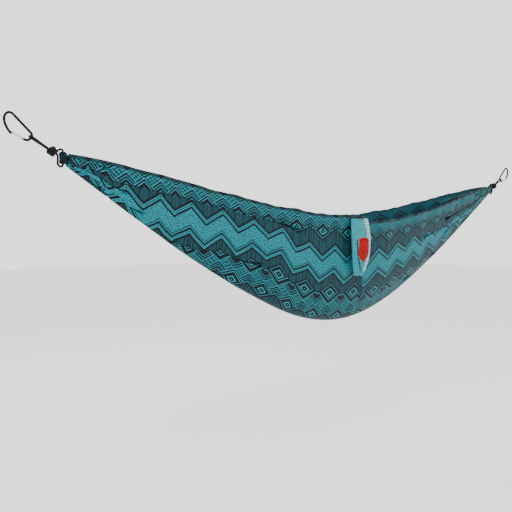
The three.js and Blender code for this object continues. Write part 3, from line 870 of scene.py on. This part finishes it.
channel_half = (0.0125, 0.0142, 0.021)
cord_hole = 0.0042
ridges = 9
channel_rows, channel_sides = 150, 64
for side in ("left", "right"):
    height = np.linspace(-1, 1, channel_rows)[:, None]
    angle = np.linspace(0, 2 * np.pi, channel_sides, endpoint=False)[None, :]
    wander = 0.9 * np.sin(angle + 1.1) + 0.5 * np.sin(3 * angle)
    ridge = np.abs(np.sin(ridges * np.pi / 2 * height + wander)) ** 0.6
    swell = 0.74 + 0.30 * ridge + 0.05 * np.sin(5 * height + 2 * angle)
    close_in = np.clip((1 - np.abs(height)) / 0.16, 0, 1) ** 0.5
    radius = cord_hole / channel_half[0] + (swell - cord_hole / channel_half[0]) * close_in
    x = channel_half[0] * radius * np.cos(angle)
    y = channel_half[1] * radius * np.sin(angle)
    z = np.broadcast_to(channel_half[2] * height, x.shape)
    centre = mirrored(side, channel_centre_x, 0, 0)
    points = np.stack([x, y, z], axis=2) + np.array(centre)
    flat = np.stack(np.broadcast_arrays(0.05 + angle * channel_half[1], height * 0.08), axis=2)
    # the sleeves take the darker copy of the print: painted shade among the bunched plies
    sleeve = mesh_piece(f"{side}_channel_sleeve", points, grid_faces(channel_rows, channel_sides, True),
                        printed_nylon_painted_shade, flat)
    belongs(sleeve, "hammock", f"{side}_end_channel")

# ---- Stuff sack -------------------------------------------------------------------------------------
# The hammock packs into this sack, which stays sewn to the near edge by its top and hangs down the
# outside of the bed. It is cut from the dotted band of the same print, and lies half empty.

sack_top = -0.190
sack_height = 0.258
sack_half_width = 0.064
sack_widest = 0.35                 # places down the sack are shares of its height
sack_top_share = 0.88
sack_mouth_share = 0.48
sack_depth = 0.036
sack_flat_depth = 0.009
sack_behind = 0.0062
sack_follow = 0.15                 # it hangs nearly plumb: its share of the bed's curve under it
gusset_to = 66                     # degrees round the oval from its right side


def sack_half_width_at(down):
    """Half the sack's width, which narrows a little to the sewn top and more to the mouth."""
    above = down < sack_widest
    away = np.where(above, 1 - down / sack_widest, (down - sack_widest) / (1 - sack_widest))
    least = np.where(above, sack_top_share, sack_mouth_share)
    return sack_half_width * (1 - (1 - least) * away ** 2)


def near_face(z):
    """How far out the bed's near face lies behind the sack, at a height under the gather."""
    share = np.array(sack_x / span)
    bottom_z = bed_section(share, np.array(0.0))[1]
    edge_y, edge_z = bed_section(share, np.array(-1.0))
    wrap = wrap_end + (wrap_middle - wrap_end) * bow(share)
    tall = (edge_z - bottom_z) / (1 - math.cos(wrap))
    bed_angle = np.minimum(np.arccos(np.clip(1 - (z - bottom_z) / tall, -1, 1)), wrap)
    return edge_y / math.sin(wrap) * np.sin(bed_angle)


def sack_point(down, degrees, grow):
    """A place on the sack: down from its top, round its oval section, grown outwards."""
    down, angle = np.broadcast_arrays(np.asarray(down, dtype=float), np.radians(degrees))
    z = sack_top - sack_height * down
    half_width = sack_half_width_at(down) + grow
    fullness = np.sin(np.pi * np.minimum(1, down * 0.9 + 0.06))
    depth = sack_flat_depth + (sack_depth - sack_flat_depth) * fullness
    back = (1 - sack_follow) * near_face(sack_top) + sack_follow * near_face(z) - sack_behind
    flat_back = np.where(np.sin(angle) > 0, 1.0, 0.75)
    y = back - depth / 2 - (depth / 2 + grow) * flat_back * np.sin(angle)
    return np.stack([sack_x + half_width * np.cos(angle), y, z], axis=-1) + np.array(gather_left)


def puckers(down, degrees):
    """Small creases of a slack sack: across it under the tab, and up from the drawn mouth."""
    around = np.radians(degrees)
    return (0.0010 * np.sin(26 * down + 3 * np.sin(2 * around)) * np.sin(around) ** 2
            + 0.0008 * np.sin(17 * around + 4 * down) * np.clip((down - 0.55) / 0.4, 0, 1)
            + 0.0006 * np.sin(9 * around - 11 * down))


def flat_size(points):
    """The width and length of a modelled sheet laid flat."""
    return (float(np.linalg.norm(np.diff(points, axis=1), axis=2).sum(axis=1).mean()),
            float(np.linalg.norm(np.diff(points, axis=0), axis=2).sum(axis=0).mean()))


def cloth_material(name, base, build):
    """Plain nylon of the sack: build gives the mask between its two dyes from the flat places."""
    material, tree, surface = new_material(name)
    places = flat_places(tree)
    dyed = blend(tree, build(tree, places), *base)
    warp = add_node(tree, "ShaderNodeTexWave", {"Vector": places, "Scale": thread_scale}, bands_direction="X")
    coat(tree, surface, {
        "Base Color": faded(tree, dyed, noise(tree, places, 30.0, 3.0), 0.2), "Roughness": 0.5,
        "IOR": 1.53, "Specular IOR Level": 0.15, "Sheen Weight": 0.04,
        "Normal": bump(tree, warp.outputs["Fac"], 0.1, 0.0003),
    })
    return material


def dotted(tree, flat):
    """Dots of the darker dye, about 6 mm apart."""
    cells = add_node(tree, "ShaderNodeTexVoronoi", {"Vector": flat, "Scale": 165.0, "Randomness": 0.6},
                     voronoi_dimensions="2D")
    between_dots = add_node(tree, "ShaderNodeMath", {0: cells.outputs["Distance"], 1: 0.31},
                            operation="GREATER_THAN")
    return between_dots.outputs[0]


def barred(tree, flat):
    """Bars of the paler dye across the gusset, one every 9.2 mm."""
    place = add_node(tree, "ShaderNodeSeparateXYZ", {0: flat})
    pitch = add_node(tree, "ShaderNodeMath", {0: place.outputs[1], 1: 1 / bar_pitch}, operation="MULTIPLY")
    part = add_node(tree, "ShaderNodeMath", {0: pitch.outputs[0]}, operation="FRACT")
    return add_node(tree, "ShaderNodeMath", {0: part.outputs[0], 1: 0.48}, operation="LESS_THAN").outputs[0]


bar_pitch = 0.0092
dotted_nylon = cloth_material("dotted_nylon", ("#052233", "#1c858f"), dotted)
barred_nylon = cloth_material("barred_nylon", ("#0c5566", "#a9cfd2"), barred)

sack_rows = 130
for name, node, slot, material, first, last, columns in (
    ("sack_front_cloth", "sack_front", "dotted_cloth", dotted_nylon, gusset_to, 180, 64),
    ("sack_gusset_cloth", "sack_gusset", "striped_cloth", barred_nylon, 0, gusset_to, 40),
    ("sack_back_cloth", "sack_back", "dotted_cloth", dotted_nylon, 180, 360, 50),
):
    down = np.linspace(0, 0.935, sack_rows)[:, None]
    degrees = np.linspace(first, last, columns)[None, :]
    points = sack_point(down, degrees, puckers(down, degrees))
    wide, long = flat_size(points)
    flat = np.stack(np.broadcast_arrays(np.linspace(0, wide, columns)[None, :], down * sack_height), axis=2)
    piece = mesh_piece(name, points, grid_faces(sack_rows, columns), material, flat)
    belongs(piece, "sack", node)

# the mouth: a doubled ring that its drawcord gathers, turned in at the bottom
mouth_sides = 120
profile = [(0.925, 0.0006), (0.94, 0.0012), (0.965, 0.0014), (0.985, 0.0012), (1.0, 0.0002), (1.0, -0.0026),
           (0.985, -0.0036), (0.955, -0.0034), (0.93, -0.0030)]
degrees = np.linspace(0, 360, mouth_sides, endpoint=False)[None, :]
down = np.array([place for place, _ in profile])[:, None]
grow = np.array([out for _, out in profile])[:, None] + 0.0007 * np.sin(np.radians(degrees) * 22)
mouth_points = sack_point(down, degrees, grow)
wide, long = flat_size(mouth_points)
flat = np.stack(np.broadcast_arrays(np.radians(degrees) * 0.02, down * sack_height), axis=2)
mouth = mesh_piece("sack_mouth_cloth", mouth_points, grid_faces(len(profile), mouth_sides, True),
                   dotted_nylon, flat)
belongs(mouth, "sack", "sack_mouth_channel")

# ---- Drawcord ---------------------------------------------------------------------------------------
# A 3 mm black cord closes the sack's mouth. The part in sight runs down the front beside the tab
# and in under its point to the mouth's channel.

drawcord_radius = 0.0015
stops = ((0.37, 131, 0.8), (0.42, 131, 0.8), (0.5, 130, 0.8), (0.6, 128, 0.8), (0.68, 124, 0.9),
         (0.76, 116, 0.9), (0.84, 106, 0.9), (0.905, 99, 0.8))
drawcord = tube("sack_drawcord_sheath", smooth_path(
    [sack_point(down, degrees, drawcord_radius + lift / 1000) for down, degrees, lift in stops], 0.0005),
    braid(drawcord_radius, 0.0012), 16, black_cord)
belongs(drawcord, "sack", "sack_drawcord")

# ---- Pull tab ----------------------------------------------------------------------------------------
# A moulded red rubber tongue, sewn on by its top, to grip the sack by. It has a raised border, a
# darker arch pressed in near the top, and a point at the bottom.

tab_top = 0.33
tab_length = 0.43
tab_half_width = 0.033
tab_lift = 0.0019
tab_rows, tab_columns = 110, 49
tab_top_narrow = 0.30              # the top's width, as a share of the tab's
tab_shoulder = 0.11                # the rounded top ends here, the point begins at tab_point: both
tab_point = 0.62                   # are shares of the tab's length, like the arch's place and reach
tab_point_reach = 0.385
border_in = 0.0026
border_half_width = 0.0016
arch_half_width = 0.027
arch_centre = 0.235
arch_reach = 0.17
arch_line = 0.13
arch_foot = 0.19

# Red rubber: matt, finely pitted, and darker red over the pressed arch.
red_rubber, tree, surface = new_material("moulded_red_rubber")
arch_mask = add_node(tree, "ShaderNodeAttribute", attribute_name="pressed")
coat(tree, surface, {
    "Base Color": blend(tree, arch_mask.outputs["Fac"], "#8c0105", "#2c0103"), "Roughness": 0.55,
    "IOR": 1.5, "Specular IOR Level": 0.06,
    "Normal": bump(tree, noise(tree, flat_places(tree), 900.0, 3.0), 0.2, 0.0002),
})

t = np.linspace(0, 1, tab_rows)[:, None]
u = np.linspace(-1, 1, tab_columns)[None, :]
rounding = np.sqrt(np.clip(1 - (1 - t / tab_shoulder) ** 2, 0, 1))
shoulder = np.where(t < tab_shoulder, tab_top_narrow + (1 - tab_top_narrow) * rounding, 1.0)
point = np.where(t > tab_point, np.cos(np.pi / 2 * np.clip((t - tab_point) / tab_point_reach, 0, 1)), 1.0)
half = tab_half_width * shoulder * point
down = tab_top + tab_length * t
degrees = 90 - np.degrees(np.arcsin(np.clip(u * half / sack_half_width_at(down), -0.95, 0.95)))
from_rim = np.minimum(half * (1 - np.abs(u)), np.minimum(t, 1 - t) * tab_length * sack_height)
border = np.clip(1 - np.abs(from_rim - border_in) / border_half_width, 0, 1) ** 0.5
arch = np.abs(np.hypot(u * half / arch_half_width, (t - arch_centre) / arch_reach) - 1)
pressed = np.clip(1 - arch / arch_line, 0, 1) * (t < arch_foot)
rounded = np.clip(from_rim / 0.0012, 0, 1) ** 0.5
outer = sack_point(down, degrees, tab_lift + 0.0007 * border - 0.0005 * pressed - 0.0005 * (1 - rounded))
inner = sack_point(down, degrees, tab_lift - 0.0013 + 0.0003 * (1 - rounded))
points = np.concatenate([outer, inner[:, ::-1]], axis=1)
flat = np.stack(np.broadcast_arrays(u * half, t * tab_length * sack_height), axis=2)
flat = np.concatenate([flat, flat[:, ::-1]], axis=1)
tab = mesh_piece("pull_tab_rubber", points, grid_faces(tab_rows, 2 * tab_columns, True, True),
                 red_rubber, flat)
layer = tab.data.attributes.new("pressed", "FLOAT", "POINT")
layer.data.foreach_set("value", np.concatenate([pressed, 0 * pressed], axis=1).ravel().astype(np.float32))
belongs(tab, "tab", "pull_tab")

# ---- Eyelet ---------------------------------------------------------------------------------------------
# A black lacquered eyelet through the lower half of the tab, oval, with a rolled rim.

eyelet_down = tab_top + tab_length * 0.62
eyelet_box = [np.array(corner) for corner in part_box("tab_eyelet")]
eyelet_centre = sum(eyelet_box) / 2
eyelet_up = sack_point(eyelet_down - 0.04, 90, 0) - sack_point(eyelet_down + 0.04, 90, 0)
eyelet_up /= np.linalg.norm(eyelet_up)
eyelet_out = np.cross((1, 0, 0), eyelet_up)
eyelet_out *= -1 if eyelet_out[1] > 0 else 1

# Black lacquer over brass, chipped a little.
lacquer, tree, surface = new_material("black_lacquered_brass")
chips = noise(tree, object_places(tree), 700.0, 4.0)
chipped = add_node(tree, "ShaderNodeMapRange", {0: chips, 1: 0.66, 2: 0.70}).outputs[0]
coat(tree, surface, {
    "Base Color": blend(tree, chipped, "#0a0a0b", "#6b5a34"), "Metallic": chipped, "Roughness": 0.35,
})

# the rim's section, in millimetres: how far from the middle, and how far out of the tab
rim = [(0.2, -0.6), (0.2, 0.1), (3.6, 0.1), (4.0, 1.0), (5.0, 1.7), (6.4, 1.6), (7.6, 0.8), (7.8, 0.1),
       (6.6, -0.3)]
eyelet_narrowing = 0.82
eyelet_sunk = 0.4
turns = np.linspace(0, 2 * np.pi, 48, endpoint=False)
rings = np.array([[
    eyelet_centre + (np.array((1, 0, 0)) * math.cos(turn) * radius * eyelet_narrowing
                     + eyelet_up * math.sin(turn) * radius + eyelet_out * (out - eyelet_sunk)) / 1000
    for radius, out in rim] for turn in turns])
faces = grid_faces(len(turns) + 1, len(rim), True)
faces = [tuple(index % (len(turns) * len(rim)) for index in face) for face in faces]
eyelet = mesh_piece("tab_eyelet_rim", rings, faces, lacquer)
belongs(eyelet, "tab", "tab_eyelet")
